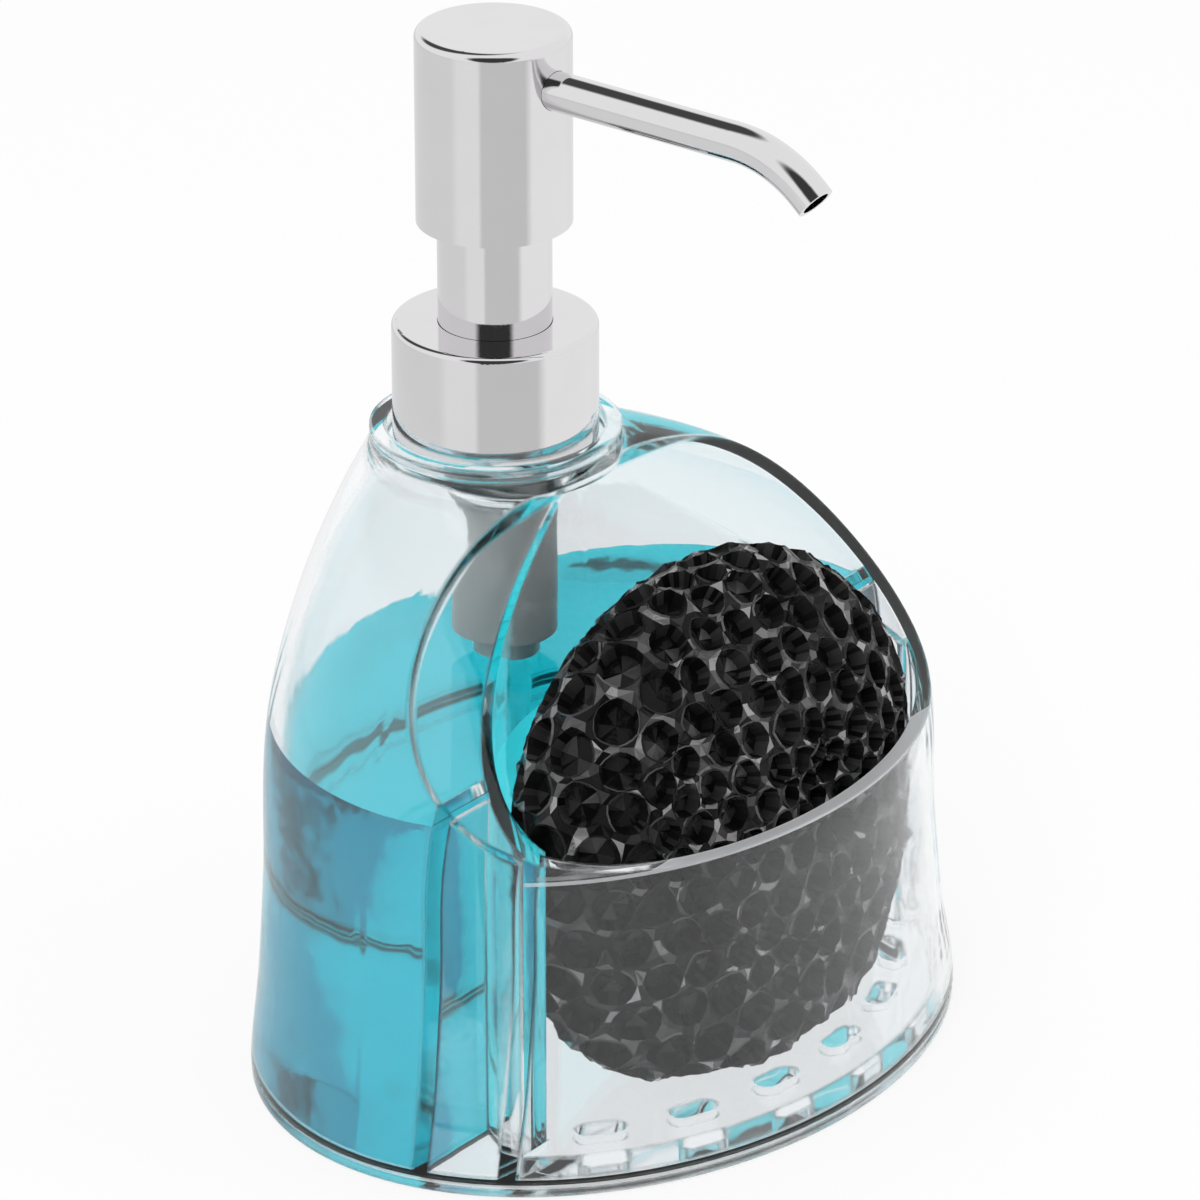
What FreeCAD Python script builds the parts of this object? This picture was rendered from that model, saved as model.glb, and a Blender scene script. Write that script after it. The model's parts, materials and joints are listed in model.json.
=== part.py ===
import FreeCAD, Part

import math
import os
import re
from types import SimpleNamespace

import Sketcher
from FreeCAD import Matrix, Placement, Rotation, Vector

# Soap pump caddy: a clear oval dispenser with an open front pocket for a scrubber and a chrome pump.
# Millimetres. The origin is the middle of the base on the table, +Z is up and the front looks along -Y.

# Driving dimensions
SIZES = {
    # Clear body
    "base_half_width": 63.4,
    "base_half_depth": 50.2,
    "wall": 2.3,
    "waist_height": 47.0,
    "flare_side": 3.6,
    "flare_front": 4.2,
    "flare_back": 2.0,
    "arch_below_ring": 0.5,
    "rim_height": 51.0,
    "scoop_under_ring": 1.5,
    "pocket_side": 17.9,
    "pocket_from_step": 2.0,
    "step_inset": 26.2,
    "wing_from_step": 13.0,
    # Neck, on the pump axis
    "pump_inset": 28.6,
    "ring_radius": 19.6,
    "ring_wall": 2.6,
    "ring_height": 96.5,
    "recess_depth": 2.5,
    "throat_radius": 14.5,
    "neck_radius": 12.6,
    "neck_bore": 10.4,
    "neck_rise": 12.0,
    "thread_pitch": 4.2,
    "thread_turns": 1.5,
    "thread_lead_in": 2.9,
    "neck_bead": 1.0,
    "nut_bead": 0.85,
    # Base plate
    "base_flange": 2.0,
    "floor_height": 5.5,
    "plate_gap": 0.2,
    "foot_rim": 4.0,
    "foot_recess": 1.2,
    "slot_length": 8.0,
    "slot_width": 3.8,
    "slot_inset": 10.5,
    "slot_count": 6,
    "slot_spread": 18.0,
    # Soap
    "soap_level": 58.0,
    "fill_gap": 0.15,
    # Scrubber
    "scrubber_height": 79.3,
    "scrubber_side_gap": 1.8,
    "scrubber_gap": 1.5,
    "net_depth": 5.0,
    # Closure: nut, chrome collar and chimney sleeve
    "collar_radius": 16.0,
    "collar_wall": 1.0,
    "collar_cap": 1.5,
    "collar_round": 0.9,
    "collar_lift": 0.4,
    "nut_lift": 0.6,
    "nut_wall": 1.0,
    "nut_plate": 1.5,
    "nut_hole": 9.3,
    "chimney_radius": 8.85,
    "chimney_wall": 1.0,
    "chimney_flange_radius": 12.0,
    "chimney_flange": 1.6,
    "chimney_length": 22.8,
    "chimney_lap": 3.0,
    # Pump engine
    "gasket_thickness": 1.2,
    "housing_radius": 8.0,
    "housing_wall": 1.1,
    "housing_flange": 1.5,
    "housing_flange_radius": 12.8,
    "barrel_floor": 2.0,
    "tail_wall": 1.55,
    "ball_chamber": 5.5,
    "ball_bore": 3.4,
    "ball_web": 1.0,
    "ball_radius": 2.4,
    "inlet_radius": 1.8,
    "socket_depth": 5.5,
    "dip_radius": 3.0,
    "dip_wall": 0.8,
    "dip_clearance": 5.5,
    "chaplet_length": 10.7,
    "chaplet_flange": 1.0,
    "chaplet_flange_radius": 8.9,
    "rod_radius": 3.2,
    "rod_wall": 1.6,
    "rod_shoulder": 2.4,
    "shoulder_radius": 4.6,
    "port_radius": 0.7,
    "port_rise": 2.2,
    "piston_slip": 1.0,
    "piston_length": 6.0,
    "piston_lip": 1.6,
    "piston_waist": 5.6,
    "seat_radius": 4.6,
    "seat_thickness": 3.7,
    "stub_length": 1.3,
    "spring_length": 20.0,
    "spring_radius": 4.2,
    "spring_wire": 0.8,
    "spring_turns": 6,
    # Head and spout
    "press_travel": 13.0,
    "press_margin": 1.2,
    "head_radius": 12.05,
    "head_wall": 1.05,
    "head_length": 31.0,
    "head_cap": 3.1,
    "head_round": 1.3,
    "insert_neck": 8.5,
    "insert_neck_radius": 5.2,
    "spout_drop": 7.3,
    "spout_radius": 3.05,
    "spout_wall": 0.8,
    "spout_root": 4.0,
    "spout_straight": 46.0,
    "spout_bend": 20.5,
    "spout_bend_angle": 40.0,
    "spout_tip": 2.0,
    # Fits
    "seat_gap": 0.1,
    "running_gap": 0.05,
    "slide_gap": 0.3,
    "turning_gap": 0.2,
    "overrun": 5.0,
}

# Places and sizes that follow from the driving dimensions
PLACES = {
    "waist_half_width": "base_half_width - flare_side",
    "waist_front": "base_half_depth - flare_front",
    "waist_back": "base_half_depth - flare_back",
    "pump_back": "base_half_depth - pump_inset",
    "step_forward": "base_half_depth - step_inset",
    "wing_forward": "step_forward - wing_from_step",
    "pocket_forward": "step_forward - pocket_from_step",
    "pocket_half_width": "base_half_width - pocket_side",
    "ring_front": "pump_back - ring_radius",
    "ring_back": "pump_back + ring_radius",
    "arch_height": "ring_height - arch_below_ring",
    "arch_rise": "arch_height - waist_height",
    "scoop_back": "ring_front + scoop_under_ring",
    "scoop_round": "arch_height - rim_height",
    "scoop_centre_y": "scoop_back - scoop_round",
    "scoop_centre_z": "rim_height + scoop_round",
    "pocket_half_depth": "scoop_back + pocket_forward",
    "ring_bore": "ring_radius - ring_wall",
    "recess_floor": "ring_height - recess_depth",
    "neck_height": "recess_floor + neck_rise",
    "neck_plate_bottom": "recess_floor - wall",
    "thread_start": "recess_floor + thread_lead_in + neck_bead",
    "nut_bore": "neck_radius + neck_bead + slide_gap",
    "nut_radius": "nut_bore + nut_wall",
    "collar_inner": "collar_radius - collar_wall",
    "collar_hole": "chimney_radius + seat_gap",
    "gasket_top": "neck_height + gasket_thickness",
    "gasket_bore": "neck_bore + turning_gap",
    "flange_top": "gasket_top + housing_flange",
    "nut_plate_bottom": "flange_top + turning_gap",
    "nut_plate_top": "nut_plate_bottom + nut_plate",
    "chimney_foot": "nut_plate_top + seat_gap",
    "chimney_flange_top": "chimney_foot + chimney_flange",
    "chimney_bore": "chimney_radius - chimney_wall",
    "collar_cap_bottom": "chimney_flange_top + seat_gap",
    "collar_top": "collar_cap_bottom + collar_cap",
    "collar_bottom": "recess_floor + collar_lift",
    "nut_bottom": "collar_bottom + nut_lift",
    "chimney_top": "chimney_foot + chimney_length",
    "head_bottom": "chimney_top - chimney_lap",
    "head_top": "head_bottom + head_length",
    "head_cap_bottom": "head_top - head_cap",
    "head_inner": "head_radius - head_wall",
    "insert_radius": "head_inner - running_gap",
    "insert_top": "head_cap_bottom - seat_gap",
    "insert_bottom": "chimney_top + press_travel + press_margin",
    "insert_neck_bottom": "insert_bottom - insert_neck",
    "spout_height": "head_top - spout_drop",
    "spout_bore": "spout_radius - spout_wall",
    "spout_hole": "spout_radius + running_gap",
    "rod_bore": "rod_radius - rod_wall",
    "rod_top": "spout_height - spout_radius - slide_gap",
    "rod_socket": "rod_radius + running_gap",
    "rod_socket_top": "rod_top + seat_gap",
    "housing_bore": "housing_radius - housing_wall",
    "chaplet_radius": "housing_bore - running_gap",
    "chaplet_bore": "rod_radius + running_gap",
    "chaplet_bottom": "flange_top - chaplet_length",
    "chaplet_top": "flange_top + chaplet_flange",
    "shoulder_top": "chaplet_bottom - slide_gap",
    "shoulder_bottom": "shoulder_top - rod_shoulder",
    "piston_top": "shoulder_bottom - piston_slip - slide_gap",
    "piston_bottom": "piston_top - piston_length",
    "piston_upper_lip": "piston_top - piston_lip",
    "piston_lower_lip": "piston_bottom + piston_lip",
    "piston_radius": "housing_bore - running_gap",
    "piston_bore": "rod_radius + running_gap",
    "seat_top": "piston_bottom - slide_gap",
    "rod_bottom": "seat_top + slide_gap",
    "seat_bottom": "seat_top - seat_thickness",
    "stub_radius": "rod_bore - running_gap",
    "stub_top": "seat_top + stub_length",
    "port_height": "rod_bottom + port_rise",
    "ledge": "seat_bottom - spring_length",
    "ball_seat": "ledge - ball_chamber",
    "ball_centre": "ball_seat + (ball_radius^2 - inlet_radius^2)^0.5 + running_gap",
    "socket_top": "ball_seat - ball_web",
    "socket_radius": "dip_radius + running_gap",
    "tail_bottom": "socket_top - socket_depth",
    "tail_radius": "socket_radius + tail_wall",
    "barrel_step": "ledge - barrel_floor",
    "dip_top": "socket_top - seat_gap",
    "dip_bottom": "base_flange + dip_clearance",
    "dip_bore": "dip_radius - dip_wall",
    "scrubber_half_width": "pocket_half_width - scrubber_side_gap",
    "scrubber_half_depth": "(waist_front - wall + ring_front) / 2 - scrubber_gap",
    "scrubber_forward": "(waist_front - wall - ring_front) / 2",
    "scrubber_bottom": "floor_height + slide_gap",
}

# Shoulder sections between the waist and the arch top: share of that height, how far the widest point
# has moved back to the pump axis, and how far the front has drawn in to the neck ring
SHOULDER_SHARES = (
    (0.0, 0.0, 0.0),
    (0.22, 0.01, 0.05),
    (0.43, 0.04, 0.15),
    (0.61, 0.12, 0.35),
    (0.77, 0.27, 0.6),
    (0.88, 0.5, 0.9),
)
# Scrubber sections: share of its height, then of its half width, front half depth and back half depth.
# It is squeezed forward at the bottom of the pocket and leans back above the rim
SCRUBBER_SHARES = (
    (0.0, 0.52, 0.78, 0.2),
    (0.05, 0.7, 0.9, 0.42),
    (0.16, 0.86, 0.98, 0.68),
    (0.32, 0.96, 1.0, 0.9),
    (0.5, 1.0, 1.0, 1.0),
    (0.66, 0.95, 0.9, 0.98),
    (0.8, 0.8, 0.66, 0.86),
    (0.91, 0.56, 0.36, 0.64),
    (0.98, 0.26, 0.08, 0.36),
)
# Lower wall: shares of the height from the base flange to the waist
LOWER_WALL_SHARES = (0.0, 0.2, 0.4, 0.6, 0.8)
# Arcs in each half of an oval section, and the degree of the surface along the height
ARCS_PER_HALF = 4
LOFT_DEGREE = 3
# Pairs of arcs in each turn of a wound wire, and points on each arc when its gaps are measured
ARC_PAIRS_PER_TURN = 4
POINTS_PER_ARC = 24
AXIS = "axis"

doc = FreeCAD.newDocument("soap_pump_caddy")


def linked(text, own_sheet=None):
    """Writes an expression with each named size told which sheet it is on."""

    def place_name(match):
        word = match.group()
        if word in SIZES:
            return "Sizes." + word
        if word in PLACES and own_sheet != "Places":
            return "Places." + word
        return word

    return re.sub(r"[a-z][a-z_]*", place_name, text)


def make_sheet(name, cells):
    sheet = doc.addObject("Spreadsheet::Sheet", name)
    for row, (alias, text) in enumerate(cells.items(), 1):
        sheet.set(f"A{row}", alias)
        sheet.set(f"B{row}", text)
        sheet.setAlias(f"B{row}", alias)
    return sheet


sizes_sheet = make_sheet("Sizes", {alias: str(number) for alias, number in SIZES.items()})
places_sheet = make_sheet("Places", {alias: "=" + linked(text, "Places") for alias, text in PLACES.items()})
doc.recompute()
mm = SimpleNamespace(
    **{alias: float(sizes_sheet.get(alias)) for alias in SIZES},
    **{alias: float(places_sheet.get(alias)) for alias in PLACES},
)
pump_axis = Vector(0, mm.pump_back, 0)
pieces = {}


def keep(piece, label):
    """Names a finished sub-part."""
    piece.Label = label
    pieces[label] = piece
    return piece


def feature(name, shape):
    made = doc.addObject("Part::Feature", name)
    made.Shape = shape
    return made


def cut(name, base, tool):
    made = doc.addObject("Part::Cut", name)
    made.Base = base
    made.Tool = tool
    return made


def turned(name, profile):
    """A body turned about the pump axis from a closed outline of named (radius, height) corners."""
    body = doc.addObject("PartDesign::Body", name)
    body.setExpression("Placement.Base.y", linked("pump_back"))
    sketch = body.newObject("Sketcher::SketchObject", name + "_outline")
    plane = next(part for part in body.Origin.OriginFeatures if part.Role == "XZ_Plane")
    sketch.AttachmentSupport = [(plane, "")]
    sketch.MapMode = "FlatFace"
    corners = [
        Vector(0 if radius == AXIS else getattr(mm, radius), getattr(mm, height), 0)
        for radius, height in profile
    ]
    count = len(corners)
    for index, corner in enumerate(corners):
        sketch.addGeometry(Part.LineSegment(corner, corners[(index + 1) % count]))
    for index in range(count):
        sketch.addConstraint(Sketcher.Constraint("Coincident", index, 2, (index + 1) % count, 1))
    for index, (radius, height) in enumerate(profile):
        if radius == AXIS:
            sketch.addConstraint(Sketcher.Constraint("PointOnObject", index, 1, -2))
        else:
            across = Sketcher.Constraint("DistanceX", -1, 1, index, 1, corners[index].x)
            sketch.setExpression(f"Constraints[{sketch.addConstraint(across)}]", linked(radius))
        upward = Sketcher.Constraint("DistanceY", -1, 1, index, 1, corners[index].y)
        sketch.setExpression(f"Constraints[{sketch.addConstraint(upward)}]", linked(height))
    turn = body.newObject("PartDesign::Revolution", name + "_turn")
    turn.Profile = sketch
    turn.ReferenceAxis = (sketch, ["V_Axis"])
    turn.Angle = 360
    return body


def rounded(body, radius, edges):
    """Rounds the circular edges of a turned body that are named by (radius, height)."""
    doc.recompute()
    turn = body.Tip
    wanted = [(getattr(mm, across), getattr(mm, height)) for across, height in edges]
    names = []
    for index, edge in enumerate(turn.Shape.Edges, 1):
        if not isinstance(edge.Curve, Part.Circle):
            continue
        found = (edge.Curve.Radius, edge.Curve.Center.z)
        if any(math.dist(found, want) < mm.running_gap for want in wanted):
            names.append(f"Edge{index}")
    fillet = body.newObject("PartDesign::Fillet", body.Name + "_round")
    fillet.Base = (turn, names)
    fillet.setExpression("Radius", linked(radius))
    return body


def drill(name, radius, height, start, length):
    """A round bar that points to the front from the pump axis, for holes that the spout needs."""
    bar = doc.addObject("Part::Cylinder", name)
    bar.setExpression("Radius", linked(radius))
    bar.setExpression("Height", linked(length))
    bar.Placement = Placement(Vector(), Rotation(Vector(1, 0, 0), 90))
    bar.setExpression("Placement.Base.y", linked("pump_back - " + start))
    bar.setExpression("Placement.Base.z", linked(height))
    return bar


def biarc(start, start_way, end, end_way):
    """Two arcs that leave start along start_way and reach end along end_way."""
    span = end - start
    ways = start_way + end_way
    turn = 2 * (1 - start_way.dot(end_way))
    along = span.dot(ways)
    reach = (math.sqrt(along**2 + turn * span.dot(span)) - along) / turn
    first_corner = start + start_way * reach
    last_corner = end - end_way * reach
    middle = (first_corner + last_corner) / 2
    arcs = []
    for a, corner, b in ((start, first_corner, middle), (middle, last_corner, end)):
        chord_middle = (a + b) / 2
        half_turn = math.pi / 2 - (a - corner).getAngle(b - corner) / 2
        bend = reach / math.tan(half_turn)
        rise = bend * (1 / math.cos(half_turn) - 1)
        arcs.append(Part.Arc(a, corner + (chord_middle - corner).normalize() * rise, b).toShape())
    return arcs


def coil(radius, pitch, turns, start_height, wire_radius):
    """A round wire wound about the pump axis, as arcs of an eighth of a turn, and its centre line's points."""
    steps = round(turns * ARC_PAIRS_PER_TURN)

    def at(step):
        angle = 2 * math.pi * turns * step / steps
        rise = pitch * turns * step / steps
        place = Vector(radius * math.cos(angle), radius * math.sin(angle), start_height + rise)
        way = Vector(-radius * math.sin(angle), radius * math.cos(angle), pitch / (2 * math.pi))
        return pump_axis + place, way.normalize()

    edges = []
    for step in range(steps):
        edges += biarc(*at(step), *at(step + 1))
    line = Part.Wire(edges)
    start, way = at(0)
    section = Part.Wire(Part.Circle(start, way, wire_radius).toShape())
    return line.makePipeShell([section], True, False), line


def unit_point(angle):
    return Vector(math.cos(angle), math.sin(angle), 0)


def egg(half_width, front, back, centre, height):
    """A closed section of two half ellipses that meet at the widest point, in short arcs."""
    arcs = []
    step = math.pi / ARCS_PER_HALF
    for index in range(2 * ARCS_PER_HALF):
        start = index * step
        unit_arc = Part.Arc(unit_point(start), unit_point(start + step / 2), unit_point(start + step))
        stretch = Matrix()
        stretch.A11 = half_width
        stretch.A22 = back - centre if index < ARCS_PER_HALF else centre - front
        arc = unit_arc.toShape().transformGeometry(stretch)
        arc.translate(Vector(0, centre, height))
        arcs.append(arc)
    return Part.Wire(arcs)


def between(first, last, share):
    return first + (last - first) * share


def wall_section(inset, height):
    """A section of the lower wall, which flares from the upright waist down to the base."""
    flare = ((mm.waist_height - height) / (mm.waist_height - mm.base_flange)) ** 2
    return egg(
        between(mm.waist_half_width, mm.base_half_width, flare) - inset,
        -between(mm.waist_front, mm.base_half_depth, flare) + inset,
        between(mm.waist_back, mm.base_half_depth, flare) - inset,
        0,
        height,
    )


def lower_sections(inset, bottom):
    """Sections of the lower wall, from the bottom up to just under the waist."""
    return [wall_section(inset, between(bottom, mm.waist_height, share)) for share in LOWER_WALL_SHARES]


def shoulder_sections(inset, shares):
    """Sections of the shoulder, whose width follows the round arch."""
    sections = []
    for height_share, centre_share, front_share in shares:
        rise = mm.arch_rise * height_share
        narrowing = math.sqrt(1 - (rise / (mm.arch_rise - inset)) ** 2)
        sections.append(
            egg(
                (mm.waist_half_width - inset) * narrowing,
                between(-mm.waist_front, mm.ring_front, front_share) + inset,
                between(mm.waist_back, mm.ring_back, height_share**2) - inset,
                mm.pump_back * centre_share,
                mm.waist_height + rise,
            )
        )
    return sections


def throat(radius, height):
    return egg(radius, mm.pump_back - radius, mm.pump_back + radius, mm.pump_back, height)


def outer_bell():
    sections = lower_sections(0, mm.base_flange) + shoulder_sections(0, SHOULDER_SHARES)
    sections.append(throat(mm.ring_radius, mm.recess_floor))
    return Part.makeLoft(sections, True, False, False, LOFT_DEGREE)


def hollow_bell(inset, bottom):
    sections = lower_sections(inset, bottom)
    sections += shoulder_sections(inset, SHOULDER_SHARES[:-1])
    sections.append(throat(mm.throat_radius - inset + mm.wall, mm.neck_plate_bottom))
    return Part.makeLoft(sections, True, False, False, LOFT_DEGREE)


def upright(radius, bottom, top):
    return Part.makeCylinder(radius, top - bottom, Vector(0, mm.pump_back, bottom))


def slab(front, back, bottom, top):
    """A block as wide as the body and more, between two planes across Y."""
    half_width = mm.base_half_width + mm.overrun
    return Part.makeBox(2 * half_width, back - front, top - bottom, Vector(-half_width, front, bottom))


def scoop(grow):
    """What is taken off above the front rim and before the arch, grown by the wall for the deck under it."""
    centre = Vector(0, mm.scoop_centre_y, mm.scoop_centre_z)
    bend = mm.scoop_round + grow
    half_width = mm.base_half_width + mm.overrun
    front = -mm.base_half_depth - mm.overrun
    top = mm.scoop_centre_z + mm.overrun
    slant = bend * math.cos(math.pi / 4)
    low = centre + Vector(0, 0, -bend)
    high = centre + Vector(0, bend, 0)
    corners = [
        Vector(0, high.y, top),
        Vector(0, front, top),
        Vector(0, front, low.z),
        low,
    ]
    edges = [Part.LineSegment(a, b).toShape() for a, b in zip(corners, corners[1:])]
    edges.append(Part.Arc(low, centre + Vector(0, slant, -slant), high).toShape())
    edges.append(Part.LineSegment(high, corners[0]).toShape())
    outline = Part.Face(Part.Wire(edges))
    outline.translate(Vector(-half_width, 0, 0))
    return outline.extrude(Vector(2 * half_width, 0, 0))


def pocket_column(grow, bottom, top):
    """The round back part of the pocket, as an upright oval column."""
    reach_x = mm.pocket_half_width + grow
    reach_y = mm.pocket_half_depth + grow
    centre = -mm.pocket_forward
    outline = egg(reach_x, centre - reach_y, centre + reach_y, centre, bottom)
    return Part.Face(outline).extrude(Vector(0, 0, top - bottom))


def pocket(room, inset, bottom, top):
    """The pocket's part of a room: the oval column and, before the step, all inside the outer wall."""
    column = pocket_column(-inset, bottom, top)
    front = slab(-mm.base_half_depth - mm.overrun, -mm.step_forward - inset, bottom, top)
    return room.common(column.fuse(front))


def chambers(gap, bottom):
    """The closed rooms behind the pocket: the soap chamber and a small dead space at each side."""
    room = hollow_bell(mm.wall + gap, bottom)
    room = room.cut(scoop(mm.wall + gap))
    room = room.cut(pocket_column(mm.wall + gap, bottom - mm.overrun, mm.ring_height + mm.overrun))
    room = room.cut(
        slab(
            -mm.base_half_depth - mm.overrun,
            -mm.step_forward + mm.wall + gap,
            bottom - mm.overrun,
            mm.ring_height,
        )
    )
    wing_half = mm.wall / 2 + gap
    return room.cut(
        slab(
            -mm.wing_forward - wing_half,
            -mm.wing_forward + wing_half,
            bottom - mm.overrun,
            mm.ring_height,
        )
    )


def neck_block():
    """The neck ring with its recess, and the threaded neck that stands in it."""
    ring = upright(mm.ring_radius, mm.neck_plate_bottom, mm.ring_height)
    recess = upright(mm.ring_bore, mm.recess_floor, mm.ring_height + mm.overrun)
    neck = upright(mm.neck_radius, mm.neck_plate_bottom, mm.neck_height)
    bead, _ = coil(mm.neck_radius, mm.thread_pitch, mm.thread_turns, mm.thread_start, mm.neck_bead)
    return ring.cut(recess).fuse(neck.fuse(bead))


def body_shell():
    room = hollow_bell(mm.wall, mm.base_flange)
    top = mm.ring_height + mm.overrun
    shell = outer_bell().cut(scoop(0))
    shell = shell.cut(pocket(room, 0, mm.base_flange, top))
    shell = shell.cut(chambers(0, mm.base_flange))
    shell = shell.fuse(neck_block())
    bore = upright(mm.neck_bore, mm.neck_plate_bottom - mm.overrun, mm.neck_height + mm.overrun)
    return shell.cut(bore).removeSplitter()


def drain_slot(angle):
    """A slot with round ends that lies along the front wall, at an angle from straight ahead."""
    reach_x = mm.base_half_width - mm.slot_inset
    reach_y = mm.base_half_depth - mm.slot_inset
    place = Vector(reach_x * math.sin(angle), -reach_y * math.cos(angle), 0)
    along = math.degrees(math.atan2(reach_y * math.sin(angle), reach_x * math.cos(angle)))
    end = mm.slot_width / 2
    straight = mm.slot_length - mm.slot_width
    deep = mm.floor_height + 2 * mm.overrun
    slot = Part.makeBox(straight, mm.slot_width, deep, Vector(-straight / 2, -end, -mm.overrun))
    for side in (-1, 1):
        slot = slot.fuse(Part.makeCylinder(end, deep, Vector(side * straight / 2, 0, -mm.overrun)))
    slot.Placement = Placement(place, Rotation(Vector(0, 0, 1), along))
    return slot


def base_plate():
    flange_outline = egg(mm.base_half_width, -mm.base_half_depth, mm.base_half_depth, 0, 0)
    plate = Part.Face(flange_outline).extrude(Vector(0, 0, mm.base_flange))
    inset = mm.wall + mm.plate_gap
    room = Part.makeLoft([wall_section(inset, z) for z in (mm.base_flange, mm.floor_height)], True, True)
    plate = plate.fuse(pocket(room, mm.plate_gap, mm.base_flange, mm.floor_height))
    recess_outline = egg(
        mm.base_half_width - mm.foot_rim,
        -mm.base_half_depth + mm.foot_rim,
        mm.base_half_depth - mm.foot_rim,
        0,
        0,
    )
    plate = plate.cut(Part.Face(recess_outline).extrude(Vector(0, 0, mm.foot_recess)))
    count = int(mm.slot_count)
    for index in range(count):
        plate = plate.cut(drain_slot(math.radians(mm.slot_spread) * (index - (count - 1) / 2)))
    return plate.removeSplitter()


def soap_fill():
    bottom = mm.base_flange + mm.fill_gap
    soap = chambers(mm.fill_gap, bottom)
    soap = soap.cut(
        slab(
            -mm.base_half_depth,
            mm.base_half_depth,
            mm.soap_level,
            mm.ring_height + mm.overrun,
        )
    )
    soap = soap.cut(
        slab(
            -mm.base_half_depth - mm.overrun,
            -mm.wing_forward,
            bottom - mm.overrun,
            mm.ring_height,
        )
    )
    tube = upright(mm.dip_radius + mm.slide_gap, mm.dip_bottom - mm.slide_gap, mm.ring_height)
    tail = upright(mm.tail_radius + mm.slide_gap, mm.tail_bottom - mm.slide_gap, mm.ring_height)
    barrel = upright(mm.housing_radius + mm.slide_gap, mm.barrel_step - mm.slide_gap, mm.ring_height)
    return soap.cut(tube.fuse([tail, barrel]))


def spout():
    turn = math.radians(mm.spout_bend_angle)
    root = Vector(0, mm.pump_back - mm.spout_root, mm.spout_height)
    bend_start = Vector(0, mm.pump_back - mm.spout_straight, mm.spout_height)

    def on_bend(angle):
        forward = mm.spout_bend * math.sin(angle)
        drop = mm.spout_bend * (1 - math.cos(angle))
        return bend_start + Vector(0, -forward, -drop)

    bend_end = on_bend(turn)
    tip_way = Vector(0, -math.cos(turn), -math.sin(turn))
    tip = bend_end + tip_way * mm.spout_tip
    line = Part.Wire(
        [
            Part.LineSegment(root, bend_start).toShape(),
            Part.Arc(bend_start, on_bend(turn / 2), bend_end).toShape(),
            Part.LineSegment(bend_end, tip).toShape(),
        ]
    )
    front = Vector(0, -1, 0)

    def tube(radius):
        section = Part.Wire(Part.Circle(root, front, radius).toShape())
        return line.makePipeShell([section], True, False)

    return tube(mm.spout_radius).cut(tube(mm.spout_bore))


def least_gap(line, wire_radius, pitch):
    """The smallest clear space between neighbouring turns, measured on points of the centre line."""
    spaces = POINTS_PER_ARC * len(line.Edges)
    points = line.discretize(spaces)
    per_turn = math.ceil(spaces * pitch / max(pitch, line.BoundBox.ZLength))
    nearest = min(
        (b - a).Length
        for i, a in enumerate(points)
        for b in points[i + per_turn // 2 :]
    )
    return nearest - 2 * wire_radius


def scrubber_form(shrink):
    """The squeezed ball of the scrubber, drawn in by a depth."""
    sections = []
    for height_share, side_share, front_share, back_share in SCRUBBER_SHARES:
        sections.append(
            egg(
                (mm.scrubber_half_width - shrink) * side_share,
                -mm.scrubber_forward - (mm.scrubber_half_depth - shrink) * front_share,
                -mm.scrubber_forward + (mm.scrubber_half_depth - shrink) * back_share,
                -mm.scrubber_forward,
                mm.scrubber_bottom + shrink + (mm.scrubber_height - 2 * shrink) * height_share,
            )
        )
    return Part.makeLoft(sections, True, False, False, LOFT_DEGREE)


# Clear body, base, soap and scrubber
keep(feature("shell", body_shell()), "body_shell")
keep(feature("plate", base_plate()), "base_plate")
keep(feature("soap", soap_fill()), "soap_fill")
keep(feature("net", scrubber_form(0).cut(scrubber_form(mm.net_depth))), "scrubber_net")
keep(feature("sponge", scrubber_form(mm.net_depth + mm.slide_gap)), "scrubber_sponge")

# Closure
nut_turning = turned(
    "nut_turning",
    [
        ("nut_bore", "nut_bottom"),
        ("nut_radius", "nut_bottom"),
        ("nut_radius", "nut_plate_top"),
        ("nut_hole", "nut_plate_top"),
        ("nut_hole", "nut_plate_bottom"),
        ("nut_bore", "nut_plate_bottom"),
    ],
)
nut_thread, _ = coil(
    mm.nut_bore,
    mm.thread_pitch,
    mm.thread_turns,
    mm.thread_start + mm.thread_pitch / 2,
    mm.nut_bead,
)
doc.recompute()
keep(feature("nut", nut_turning.Shape.fuse(nut_thread)), "closure_nut")
collar = turned(
    "collar",
    [
        ("collar_inner", "collar_bottom"),
        ("collar_radius", "collar_bottom"),
        ("collar_radius", "collar_top"),
        ("collar_hole", "collar_top"),
        ("collar_hole", "collar_cap_bottom"),
        ("collar_inner", "collar_cap_bottom"),
    ],
)
keep(rounded(collar, "collar_round", [("collar_radius", "collar_top")]), "collar_shell")
chimney = turned(
    "chimney",
    [
        ("chimney_bore", "chimney_foot"),
        ("chimney_flange_radius", "chimney_foot"),
        ("chimney_flange_radius", "chimney_flange_top"),
        ("chimney_radius", "chimney_flange_top"),
        ("chimney_radius", "chimney_top"),
        ("chimney_bore", "chimney_top"),
    ],
)
keep(chimney, "chimney_sleeve")

# Pump engine
gasket = turned(
    "gasket",
    [
        ("gasket_bore", "neck_height"),
        ("neck_radius", "neck_height"),
        ("neck_radius", "gasket_top"),
        ("gasket_bore", "gasket_top"),
    ],
)
keep(gasket, "neck_gasket")
housing = turned(
    "housing",
    [
        ("socket_radius", "tail_bottom"),
        ("tail_radius", "tail_bottom"),
        ("tail_radius", "barrel_step"),
        ("housing_radius", "barrel_step"),
        ("housing_radius", "gasket_top"),
        ("housing_flange_radius", "gasket_top"),
        ("housing_flange_radius", "flange_top"),
        ("housing_bore", "flange_top"),
        ("housing_bore", "ledge"),
        ("ball_bore", "ledge"),
        ("ball_bore", "ball_seat"),
        ("inlet_radius", "ball_seat"),
        ("inlet_radius", "socket_top"),
        ("socket_radius", "socket_top"),
    ],
)
keep(housing, "pump_housing")
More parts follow.
